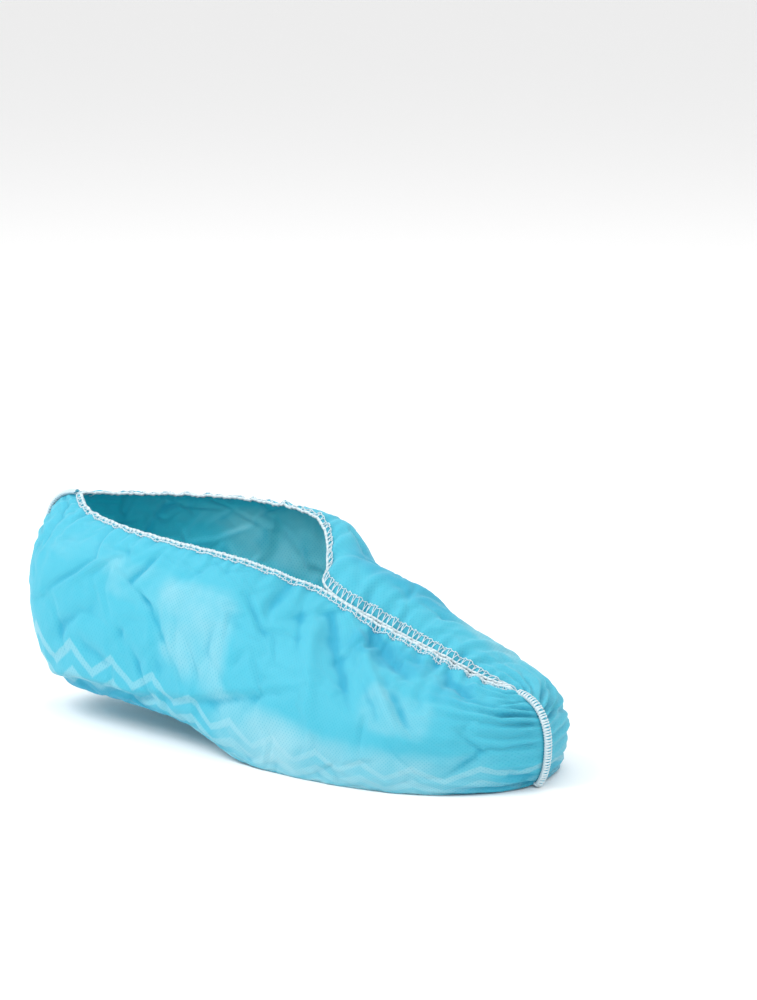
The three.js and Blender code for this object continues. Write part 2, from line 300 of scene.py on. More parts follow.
def worn_side(side, at, down):
    """Points of one panel. down is 0 at the rim, 1 where the sole starts and 2 at the fold below."""
    rim = points(*(column(RIM, name, at) for name in ("x", side + "_y", side + "_z")))
    widest = points(*(column(SIDE, name, at) for name in ("x", side + "_y", side + "_z")))
    level = np.maximum(0, column(SOLE, "z", at))
    spine = points(column(SOLE, "spine_x", at), column(SOLE, "spine_y", at), level)
    corner = with_height(widest, level)
    turn = corner + unit(spine - corner) * column(SOLE, "tuck", at)[..., None]
    lift = np.radians(column(PUFF, side + "_lift", at))
    reach = column(PUFF, side + "_reach", at)
    leaving = unit(with_height(widest - rim, 0 * reach)) * (reach * np.cos(lift))[..., None]
    leaving = rim + with_height(leaving, reach * np.sin(lift))
    above = with_height(widest, widest[..., 2] + 0.6 * (rim[..., 2] - widest[..., 2]))
    below = with_height(widest, widest[..., 2] + 0.6 * (level - widest[..., 2]))
    beside = turn + 0.55 * (corner - turn)
    upper = bezier(rim, leaving, above, widest, np.clip(down / WIDEST_DOWN, 0, 1))
    share = np.clip((down - WIDEST_DOWN) / (1 - WIDEST_DOWN), 0, 1)
    lower = bezier(widest, below, beside, turn, share)
    under = turn + (spine - turn) * np.clip(down - 1, 0, 1)[..., None]
    down = down[..., None]
    return np.where(down > 1, under, np.where(down > WIDEST_DOWN, lower, upper))


SOLE_SHARE = 0.24  # the share of half the sheet's width that lies under the foot


def down_of(across):
    """The place down a panel, from the place across the sheet: -1 and 1 at the rims, 0 at the fold."""
    inward = 1 - np.abs(across)
    return np.where(
        inward < 1 - SOLE_SHARE,
        inward / (1 - SOLE_SHARE),
        1 + (inward - 1 + SOLE_SHARE) / SOLE_SHARE,
    )


def worn_form(at, across):
    """The smooth form of the worn sheet, in millimetres."""
    down = down_of(across)
    near, far = worn_side("near", at, down), worn_side("far", at, down)
    return np.where((across < 0)[..., None], near, far)


def line_offset(spot, path):
    """Distance from spots to a line of points, positive on its right, and the share along the line."""
    nearest = np.full(spot.shape[:-1], np.inf)
    signed = np.zeros(spot.shape[:-1])
    along = np.zeros(spot.shape[:-1])
    pieces = [math.dist(start, end) for start, end in zip(path[:-1], path[1:], strict=True)]
    for number, (start, end) in enumerate(zip(path[:-1], path[1:], strict=True)):
        start, end = np.array(start, float), np.array(end, float)
        line = end - start
        share = np.clip((spot - start) @ line / (line @ line), 0, 1)
        offset = spot - (start + share[..., None] * line)
        distance = np.linalg.norm(offset, axis=-1)
        turn = line[0] * offset[..., 1] - line[1] * offset[..., 0]
        closer = distance < nearest
        nearest = np.where(closer, distance, nearest)
        signed = np.where(closer, np.copysign(distance, turn), signed)
        run = (sum(pieces[:number]) + share * pieces[number]) / sum(pieces)
        along = np.where(closer, run, along)
    return signed, along


def fold_relief(kind, offset):
    """Height of a fold of unit height and width at an offset from its line."""
    if kind == "ridge":
        return np.exp(-(offset**2))
    if kind == "hollow":
        return -np.exp(-(offset**2))
    if kind == "crease":
        return 0.45 * np.exp(-((offset / 2.4) ** 2)) - 1.3 * np.exp(-(offset**2))
    return -1.6 * offset * np.exp(-(offset**2)) + 0.35 * np.exp(-((offset + 1.6) ** 2) / 4)


def relief(at, across):
    """Height of all folds over the smooth form, in millimetres."""
    down = down_of(across)
    spot = np.stack([at * PANEL_LENGTH, down * PANEL_DROP], axis=-1)
    height = np.zeros(at.shape)
    for each in FOLDS:
        on_side = (across < 0) if each["side"] == "near" else (across > 0)
        offset, along = line_offset(spot, each["path"])
        fade = 0.25 + 0.75 * np.clip(np.minimum(along, 1 - along) / 0.3, 0, 1)
        raised = 1.15 * each["height"] * fade * fold_relief(each["kind"], offset / each["width"])
        height += np.where(on_side, raised, 0)
    return height


def crumple(at, across):
    """Many short random creases, as thin bonded cloth takes when it is worn, in millimetres."""
    rng = random.Random(23)
    along, down = at * PANEL_LENGTH, down_of(across) * PANEL_DROP
    height = np.zeros(at.shape)
    for _ in range(SMALL_CREASES):
        on_side = (across < 0) if rng.random() < 0.5 else (across > 0)
        turn, length = rng.uniform(0, math.pi), rng.uniform(9, 34)
        width, rise = rng.uniform(1.2, 2.2), rng.uniform(0.25, 0.8)
        x, y = along - rng.uniform(8, 292), down - rng.uniform(6, 112)
        u = x * math.cos(turn) + y * math.sin(turn)
        v = (y * math.cos(turn) - x * math.sin(turn)) / width
        fade = np.clip(1 - (2 * u / length) ** 2, 0, 1)
        shape = 0.7 * np.tanh(v) * np.exp(-np.abs(v) / 3) - 0.8 * np.exp(-(v**2))
        height += np.where(on_side, rise * fade * shape, 0)
    return height


def waves(rng, count, low, high):
    """A smooth random function of one number, as a sum of sines with wavelengths low to high."""
    lengths = [rng.uniform(low, high) for _ in range(count)]
    phases = [rng.uniform(0, 2 * math.pi) for _ in range(count)]

    def value(place):
        parts = [np.sin(2 * math.pi * place / n + p) for n, p in zip(lengths, phases, strict=True)]
        return sum(parts) / math.sqrt(count)

    return value


def gathers(at, across):
    """Pleats that run down from the rim and in from both end seams, in millimetres."""
    rng = random.Random(7)
    down = down_of(across) * PANEL_DROP
    along = at * PANEL_LENGTH + np.where(across > 0, 2 * PANEL_LENGTH, 0)
    fine, middle, reach = waves(rng, 5, 5, 8), waves(rng, 5, 9, 16), waves(rng, 4, 14, 40)
    drift = 0.10 * down
    height = 0.55 * fine(along + drift) * np.exp(-down / (7 + 2 * reach(along)))
    height += 0.9 * middle(along - drift) * np.exp(-down / (16 + 6 * reach(along + 11)))
    height *= 0.4 + 0.6 * np.minimum(1, down / 3)
    pucker = waves(rng, 4, 6, 11)
    for edge, length, rise in ((at, 15, 1.0), (1 - at, 20, 1.7)):
        away = edge * PANEL_LENGTH
        height += rise * pucker(down + 0.2 * away) * np.exp(-away / length) * np.minimum(1, away / 3)
    return np.where(down > PANEL_DROP, 0, height)


# ---- The sheet ----

MOST_MOVED = 2.2 * MM  # how far the simulation may move a point
SMALL_CREASES = 340
MADE = {}  # the settled grid of the sheet and its normals, which the thread is laid on


def flat_grid(cloth):
    """The flat cut sheet as a mesh, with its places along (0 to 1) and across (-1 to 1)."""
    bm = bmesh.new()
    bm.loops.layers.uv.new("cut")
    bmesh.ops.create_grid(
        bm, x_segments=cloth.columns, y_segments=cloth.rows, size=0.5, calc_uvs=True
    )
    mesh = bpy.data.meshes.new("cover_sheet")
    bm.to_mesh(mesh)
    bm.free()
    flat = read_vertices(mesh)
    low, high = flat.min(axis=0), flat.max(axis=0)
    share = (flat - low)[:, :2] / (high - low)[:2]
    return mesh, share[:, 0], share[:, 1] * 2 - 1


def read_vertices(mesh):
    values = np.empty(len(mesh.vertices) * 3)
    mesh.vertices.foreach_get("co", values)
    return values.reshape(-1, 3)


def write_vertices(mesh, places):
    mesh.vertices.foreach_set("co", places.reshape(-1))
    mesh.update()


def read_normals(mesh):
    values = np.empty(len(mesh.vertices) * 3)
    mesh.vertex_normals.foreach_get("vector", values)
    return values.reshape(-1, 3)


def into_frame(millimetres):
    """From the tables' millimetres to metres in the part's frame."""
    return millimetres * MM + np.array([-SEAT_X, 0, FLOOR_Z])


def hold_weights(at, across):
    """How firmly each point is held: fully at the rim, at the seams and under the foot."""
    down = down_of(across)
    rim = np.exp(-((down * PANEL_DROP / 1.2) ** 2))
    ends = np.exp(-((np.minimum(at, 1 - at) * PANEL_LENGTH / 1.5) ** 2))
    under = np.clip((down - 0.95) / 0.12, 0, 1)
    return np.maximum(np.maximum(rim, ends), under)


def settle(piece, at, across, cloth):
    """Lets spare cloth buckle: the sheet is a little larger than its form and held at its edges."""
    down = down_of(across)
    held = piece.vertex_groups.new(name="held")
    spare = piece.vertex_groups.new(name="spare")
    for i, weight in enumerate(hold_weights(at, across)):
        if weight > 0.01:
            held.add([i], float(weight), "REPLACE")
    for i, weight in enumerate(np.exp(-down * PANEL_DROP / 13)):
        spare.add([i], float(weight), "REPLACE")
    modifier = piece.modifiers.new("settle", "CLOTH")
    settings = modifier.settings
    settings.quality = 4
    settings.mass = 0.0002
    settings.tension_stiffness = 6
    settings.compression_stiffness = 6
    settings.shear_stiffness = 3
    settings.bending_model = "ANGULAR"
    settings.bending_stiffness = 0.02
    settings.tension_damping = 5
    settings.compression_damping = 5
    settings.shear_damping = 5
    settings.bending_damping = 0.4
    settings.air_damping = 4
    settings.vertex_group_mass = held.name
    settings.pin_stiffness = 2
    settings.vertex_group_shrink = spare.name
    settings.shrink_min = -cloth.slack
    settings.shrink_max = -cloth.gather
    settings.effector_weights.gravity = 0
    modifier.collision_settings.use_collision = False
    modifier.collision_settings.use_self_collision = False
    modifier.point_cache.frame_start = 1
    modifier.point_cache.frame_end = cloth.settling
    scene = bpy.context.scene
    for step in range(1, cloth.settling + 1):
        scene.frame_set(step)
    view = bpy.context.evaluated_depsgraph_get()
    settled = piece.evaluated_get(view).to_mesh()
    places = read_vertices(settled)
    piece.evaluated_get(view).to_mesh_clear()
    scene.frame_set(1)
    piece.modifiers.remove(modifier)
    piece.vertex_groups.clear()
    return places


# Where the cloth lies on the foot and looks paler, and where it hangs in a deep tuck and shade is
# painted darker into its colour:
# side (-1 near, 1 far, 0 both), centre and half size on a panel, and how strongly.
SPOTS = "side along down half_along half_down strength"
TOUCH = table(
    SPOTS,
    (-1, 134, 49, 22, 25, 0.48),
    (-1, 96, 38, 22, 16, 0.25),
    (-1, 246, 48, 20, 15, 0.34),
    (-1, 172, 84, 26, 18, 0.4),
    (0, 226, 90, 62, 22, 0.5),
    (0, 60, 30, 26, 12, 0.2),
    (1, 120, 40, 40, 20, 0.5),
    (1, 250, 40, 24, 20, 0.45),
)
TUCK_SHADE = table(
    SPOTS,
    (0, 66, 105, 66, 9, 0.85),
    (0, 286, 102, 18, 14, 0.5),
    (-1, 228, 14, 26, 9, 0.55),
    (-1, 268, 24, 12, 14, 0.4),
    (1, 202, 30, 34, 18, 0.6),
    (-1, 24, 70, 16, 30, 0.15),
)


def spots(rows, at, across, stir):
    """How far each place lies inside a table's spots, from 0 to 1; stir bends their edges."""
    along, down = at * PANEL_LENGTH, down_of(across) * PANEL_DROP
    free = np.ones(at.shape)
    for row in rows:
        on_side = across * row["side"] >= 0
        dx = (along - row["along"]) / row["half_along"]
        dy = (down - row["down"]) / row["half_down"]
        inside = np.clip(1.4 - np.sqrt(dx**4 + dy**4) + 0.2 * stir, 0, 1)
        inside = inside**2 * (3 - 2 * inside)
        free *= 1 - row["strength"] * inside * on_side
    return 1 - free


def add_values(mesh, name, values):
    layer = mesh.attributes.new(name, "FLOAT", "POINT")
    layer.data.foreach_set("value", values)


def hollow_of(places, normals, shape):
    """How deep each point lies in a fold, from 0 to 1, by the cloth's curvature at two scales; this sets
    where shade is painted into the colour.
    """
    grid, out = places.reshape(*shape, 3), normals.reshape(*shape, 3)
    total = np.zeros(shape)
    for step, weight in ((2, 0.5), (5, 1.0)):
        around = np.zeros_like(grid)
        for axis in (0, 1):
            for way in (-step, step):
                moved = np.roll(grid, way, axis=axis)
                edge = [slice(None)] * 2
                edge[axis] = slice(0, step) if way > 0 else slice(way, None)
                moved[tuple(edge)] = grid[tuple(edge)]
                around += moved / 4
        total += weight * ((around - grid) * out).sum(axis=-1)
    for _ in range(3):
        total[1:-1, 1:-1] = (
            total[1:-1, 1:-1] / 2
            + (total[2:, 1:-1] + total[:-2, 1:-1] + total[1:-1, 2:] + total[1:-1, :-2]) / 8
        )
    return np.clip(total / (1.8 * MM), 0, 1).reshape(-1)


def finish_piece(piece, material, slot, *nodes):
    """Puts a finished piece into the scene on the part's body."""
    piece.data.materials.clear()
    piece.data.materials.append(material)
    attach(piece, ROOT)
    for node in nodes:
        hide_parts(node)


def sew_ends(mesh):
    """Joins the two sides of the sheet at both end seams."""
    bm = bmesh.new()
    bm.from_mesh(mesh)
    ends = [vert for vert in bm.verts if vert.is_boundary]
    bmesh.ops.remove_doubles(bm, verts=ends, dist=0.02 * MM)
    bmesh.ops.recalc_face_normals(bm, faces=bm.faces)
    middle = sum((vert.co for vert in bm.verts), Vector()) / len(bm.verts)
    if sum(face.normal.dot(face.calc_center_median() - middle) for face in bm.faces) < 0:
        bmesh.ops.reverse_faces(bm, faces=bm.faces)
    bm.to_mesh(mesh)
    bm.free()
    mesh.shade_smooth()


def rest_on_floor(places):
    """Eases points up so that none is under the floor, without a sharp step where they land."""
    above = places[:, 2] - FLOOR_Z
    places[:, 2] = FLOOR_Z + (above + np.sqrt(above**2 + (0.3 * MM) ** 2)) / 2


class MESH_OT_cover_sheet(bpy.types.Operator):
    """Makes the cloth of the cover from one flat sheet"""

    bl_idname = "mesh.cover_sheet"
    bl_label = "Cover sheet"

    def execute(self, context):
        cloth = context.scene.cover_cloth
        mesh, at, across = flat_grid(cloth)
        piece = bpy.data.objects.new("cover_sheet", mesh)
        context.scene.collection.objects.link(piece)
        write_vertices(mesh, into_frame(worn_form(at, across)))
        out = read_normals(mesh)
        smooth = read_vertices(mesh)
        if (out * (smooth - smooth.mean(axis=0))).sum() < 0:
            out = -out
        ends = np.minimum(1, np.minimum(at, 1 - at) * PANEL_LENGTH / 4)
        landing = np.clip((1.02 - down_of(across)) / 0.12, 0, 1)
        folds = relief(at, across) + crumple(at, across) + gathers(at, across)
        height = folds * ends * landing * landing * (3 - 2 * landing)
        start = smooth + out * height[:, None] * MM
        write_vertices(mesh, start)
        moved = settle(piece, at, across, cloth) - start
        distance = np.linalg.norm(moved, axis=1, keepdims=True)
        start = start + moved * np.minimum(1, MOST_MOVED / np.maximum(distance, 1e-9))
        rest_on_floor(start)
        write_vertices(mesh, start)
        shape = (cloth.rows + 1, cloth.columns + 1)
        normals = read_normals(mesh)
        if (normals * out).sum() < 0:
            normals = -normals
        MADE["places"] = start.reshape(*shape, 3)
        MADE["normals"] = normals.reshape(*shape, 3)
        stir = crumple(at, across)
        # The hollow attribute is painted shade: the colour is darkened in curved folds and in the tucks.
        deep = hollow_of(start, normals, shape)
        add_values(mesh, "touch", spots(TOUCH, at, across, stir))
        add_values(mesh, "hollow", 1 - (1 - deep) * (1 - spots(TUCK_SHADE, at, across, stir)))
        sew_ends(mesh)
        wall = piece.modifiers.new("thickness", "SOLIDIFY")
        wall.thickness = cloth.thickness
        wall.offset = -1
        finish_piece(piece, cloth_material(context.scene, "coated cloth", 0.5), "fabric", "fabric_body")
        mesh.materials.append(cloth_material(context.scene, "inside of cloth", 0))
        wall.material_offset = 1
        return {"FINISHED"}


# ---- Elastic, seams and thread ----


def on_sheet(at, across, lift):
    """Points on the finished sheet, lifted off it along its normal by lift metres."""
    rows, columns = MADE["places"].shape[:2]
    x = np.clip(at, 0, 1) * (columns - 1)
    y = (np.clip(across, -1, 1) + 1) / 2 * (rows - 1)
    i, j = np.minimum(x.astype(int), columns - 2), np.minimum(y.astype(int), rows - 2)
    u, v = (x - i)[:, None], (y - j)[:, None]

    def mix(grid):
        lower = grid[j, i] * (1 - u) + grid[j, i + 1] * u
        upper = grid[j + 1, i] * (1 - u) + grid[j + 1, i + 1] * u
        return lower * (1 - v) + upper * v

    return mix(MADE["places"]) + unit(mix(MADE["normals"])) * np.asarray(lift)[..., None]


DROP = PANEL_DROP * MM / (1 - SOLE_SHARE)  # worn distance from a rim to the fold under the foot


class Rim:
    """The whole top edge as one loop, measured by distance along it."""

    def __init__(self):
        places = MADE["places"]
        columns = places.shape[1]
        share = np.linspace(0, 1, columns)
        self.at = np.concatenate([share, share[::-1][1:]])
        self.side = np.concatenate([-np.ones(columns), np.ones(columns - 1)])
        edge = np.concatenate([places[0], places[-1][::-1][1:]])
        steps = np.linalg.norm(np.diff(edge, axis=0), axis=1)
        self.distance = np.concatenate([[0], np.cumsum(steps)])
        self.length = self.distance[-1]

    def point(self, distance, inward, lift):
        """Points by distance along the rim, inward from it (or past it when negative), and lift."""
        distance = np.mod(distance, self.length)
        at = np.interp(distance, self.distance, self.at)
        side = np.where(distance < self.distance[MADE["places"].shape[1] - 1], -1.0, 1.0)
        inward, lift = np.broadcast_to(inward, at.shape), np.broadcast_to(lift, at.shape)
        on = on_sheet(at, side * (1 - np.maximum(inward, 0) / DROP), lift)
        edge = on_sheet(at, side * np.ones(at.shape), 0 * at)
        below = on_sheet(at, side * (1 - 2 * MM / DROP), 0 * at)
        return on + unit(edge - below) * np.maximum(-inward, 0)[:, None]


def tube(name, paths, radius, sides=6, cyclic=False):
    """A mesh of round tubes along lists of points."""
    curve = bpy.data.curves.new(name, "CURVE")
    curve.dimensions = "3D"
    curve.bevel_depth = radius
    curve.bevel_resolution = (sides - 4) // 2
    curve.use_fill_caps = not cyclic
    for path in paths:
        spline = curve.splines.new("POLY")
        spline.points.add(len(path) - 1)
        spline.points.foreach_set("co", np.column_stack([path, np.ones(len(path))]).ravel())
        spline.use_cyclic_u = cyclic
    drawn = bpy.data.objects.new(name + "_route", curve)
    bpy.context.scene.collection.objects.link(drawn)
    view = bpy.context.evaluated_depsgraph_get()
    mesh = bpy.data.meshes.new_from_object(drawn.evaluated_get(view))
    bpy.data.objects.remove(drawn)
    mesh.name = name
    mesh.shade_smooth()
    piece = bpy.data.objects.new(name, mesh)
    bpy.context.scene.collection.objects.link(piece)
    return piece


def wrapped_thread(place, length, pitch, section):
    """A thread that winds round an edge: one turn of the section's (inward, lift) rows per stitch."""
    turns = max(1, round(length / pitch))
    rng = random.Random(11)
    distances, inwards, lifts = [], [], []
    for turn in range(turns):
        bite = rng.uniform(0.85, 1.1)
        for step, (inward, lift) in enumerate(section):
            distances.append((turn + step / len(section)) * length / turns)
            inwards.append(inward * bite if inward > 0 else inward)
            lifts.append(lift)
    return place(np.array(distances), np.array(inwards), np.array(lifts))


class MESH_OT_cover_elastic(bpy.types.Operator):
    """Lays the elastic along the top edge"""

    bl_idname = "mesh.cover_elastic"
    bl_label = "Elastic"

    def execute(self, context):
        thread = context.scene.cover_thread
        rim = Rim()
        count = int(rim.length / (1.2 * MM))
        distance = np.arange(count) * rim.length / count
        route = rim.point(distance, np.full(count, -0.5 * thread.elastic_radius), np.zeros(count))
        piece = tube("elastic", [route], thread.elastic_radius, sides=8, cyclic=True)
        finish_piece(piece, white_yarn(context.scene), "elastic", "opening_elastic")
        return {"FINISHED"}


class MESH_OT_cover_overlock(bpy.types.Operator):
    """Winds the overlock thread round the top edge"""

    bl_idname = "mesh.cover_overlock"
    bl_label = "Overlock thread"

    def execute(self, context):
        thread = context.scene.cover_thread
        rim = Rim()
        wide = thread.elastic_radius + 1.2 * thread.thread_radius
        lie = 1.3 * thread.thread_radius
        back = context.scene.cover_cloth.thickness + lie
        section = (
            (thread.bite, lie),
            (0.45 * thread.bite, 2.2 * lie),
            (0, wide),
            (-1.3 * wide, 0.4 * wide),
            (-1.3 * wide, -0.4 * wide),
            (0, -wide),
            (thread.bite, -back),
        )
        forward = wrapped_thread(rim.point, rim.length, thread.pitch, section)
        backward = wrapped_thread(
            lambda s, i, h: rim.point(-s + 0.5 * thread.pitch, i, h), rim.length, thread.pitch, section
        )
        steps = np.arange(int(rim.length / (0.9 * MM))) * 0.9 * MM
        sway = 0.12 * np.sin(2 * math.pi * steps / thread.pitch)
        chain = rim.point(steps, thread.bite * (0.9 + sway), np.full(steps.shape, 2 * lie))
        routes = [forward, backward, chain]
        piece = tube("overlock_thread", routes, thread.thread_radius, sides=4)
        finish_piece(piece, white_yarn(context.scene), "elastic")
        return {"FINISHED"}


SEAMS = table(
    "at start end roll pitch",
    (1.0, 0.02, 0.93, 1.15, 1.25),
    (0.0, 0.02, 0.88, 1.05, 1.4),
)
SEAM_NODES = ("toe_seam", "heel_seam")


def make_seam(context, name, row):
    """A rolled seam between the two sides, wound with thread."""
    thread = context.scene.cover_thread
    steps = np.linspace(row["start"], row["end"], 200)
    at = np.full(steps.shape, row["at"])
    across = -(1 - steps * (1 - SOLE_SHARE))
    roll = row["roll"] * MM
    middle = on_sheet(at, across, np.full(steps.shape, 0.0))
    out = unit(on_sheet(at, across, np.full(steps.shape, MM)) - middle)
    out[:, 1] = 0
    out = unit(out)
    middle = middle + out * 0.8 * roll
    middle[:, 2] = np.maximum(middle[:, 2], FLOOR_Z + 1.3 * roll)
    run = np.concatenate([[0], np.cumsum(np.linalg.norm(np.diff(middle, axis=0), axis=1))])

    def place(distance, angle, radius):
        centre = np.column_stack([np.interp(distance, run, middle[:, k]) for k in range(3)])
        away = unit(np.column_stack([np.interp(distance, run, out[:, k]) for k in range(3)]))
        beside = np.zeros_like(away)
        beside[:, 1] = 1
        sideways = beside * (np.cos(angle) * radius * 1.75)[:, None]
        return centre + sideways + away * (np.sin(angle) * radius)[:, None]

    count = int(run[-1] / (1.0 * MM))
    distance = np.linspace(0, run[-1], count)
    core = [
        place(distance, np.full(count, angle), np.full(count, 0.55 * roll))
        for angle in (0.2, math.pi / 2, math.pi - 0.2)
    ]
    turns = int(run[-1] / (row["pitch"] * MM))
    angle = np.linspace(0, 2 * math.pi * turns, 12 * turns)
    along = np.linspace(0, run[-1], 12 * turns)
    wound = place(along, angle, np.full(angle.shape, 1.05 * roll))
    counter = place(along, math.pi - angle, np.full(angle.shape, 1.0 * roll))
    core_piece = tube(name + "_roll", core, 0.5 * roll, sides=8)
    edge = yarn_material("rolled cloth edge", context.scene.cover_colours.cloth, context.scene)
    finish_piece(core_piece, edge, "seam_thread", name)
    thread_piece = tube(name + "_thread", [wound, counter], 1.5 * thread.thread_radius, sides=6)
    finish_piece(thread_piece, white_yarn(context.scene), "seam_thread")


class MESH_OT_cover_seams(bpy.types.Operator):
    """Makes the rolled seams at the toe and at the heel"""

    bl_idname = "mesh.cover_seams"
    bl_label = "End seams"

    def execute(self, context):
        for name, row in zip(SEAM_NODES, SEAMS, strict=True):
            make_seam(context, name, row)
        return {"FINISHED"}


# ---- Materials ----


def new_material(name):
    made = bpy.data.materials.new(name)
    made.use_nodes = True
    return made, made.node_tree.nodes, made.node_tree.links


def math_node(nodes, links, operation, *values):
    node = nodes.new("ShaderNodeMath")
    node.operation = operation
    for socket, value in zip(node.inputs, values, strict=False):
        if isinstance(value, bpy.types.NodeSocket):
            links.new(value, socket)
        else:
            socket.default_value = value
    return node.outputs[0]


def smooth_step(nodes, links, value, low, high):
    node = nodes.new("ShaderNodeMapRange")
    node.interpolation_type = "SMOOTHSTEP"
    links.new(value, node.inputs["Value"])
    node.inputs["From Min"].default_value = low
    node.inputs["From Max"].default_value = high
    return node.outputs["Result"]


def mix_colour(nodes, links, share, first, second):
    node = nodes.new("ShaderNodeMix")
    node.data_type = "RGBA"
    for socket, value in ((node.inputs[0], share), (node.inputs[6], first), (node.inputs[7], second)):
        if isinstance(value, bpy.types.NodeSocket):
            links.new(value, socket)
        else:
            socket.default_value = (*value, 1) if hasattr(value, "__len__") else value
    return node.outputs[2]


def attribute(nodes, name):
    node = nodes.new("ShaderNodeAttribute")
    node.attribute_name = name
    return node.outputs["Fac"]


def fibre_group():
    """Fine tangled fibres over a place, from 0 to 1, as a node group."""
    group = bpy.data.node_groups.get("tangled fibres")
    if group:
        return group
    group = bpy.data.node_groups.new("tangled fibres", "ShaderNodeTree")
    group.interface.new_socket("Place", in_out="INPUT", socket_type="NodeSocketVector")
    group.interface.new_socket("Fineness", in_out="INPUT", socket_type="NodeSocketFloat")
    group.interface.new_socket("Fibres", in_out="OUTPUT", socket_type="NodeSocketFloat")
    given, result = group.nodes.new("NodeGroupInput"), group.nodes.new("NodeGroupOutput")
    noise = group.nodes.new("ShaderNodeTexNoise")
    noise.inputs["Detail"].default_value = 6
    noise.inputs["Roughness"].default_value = 0.7
    noise.inputs["Distortion"].default_value = 1.2
    group.links.new(given.outputs["Place"], noise.inputs["Vector"])
    group.links.new(given.outputs["Fineness"], noise.inputs["Scale"])
    group.links.new(noise.outputs["Fac"], result.inputs["Fibres"])
    return group


def tangled_fibres(nodes, links, place, fineness):
    node = nodes.new("ShaderNodeGroup")
    node.node_tree = fibre_group()
    links.new(place, node.inputs["Place"])
    node.inputs["Fineness"].default_value = fineness
    return node.outputs["Fibres"]


BOND_PITCH = 1.5  # millimetres between rows of bond points
GRIP = {"period": 31, "swing": 8, "spacing": 12, "share": 0.52, "reach": 60}  # millimetres


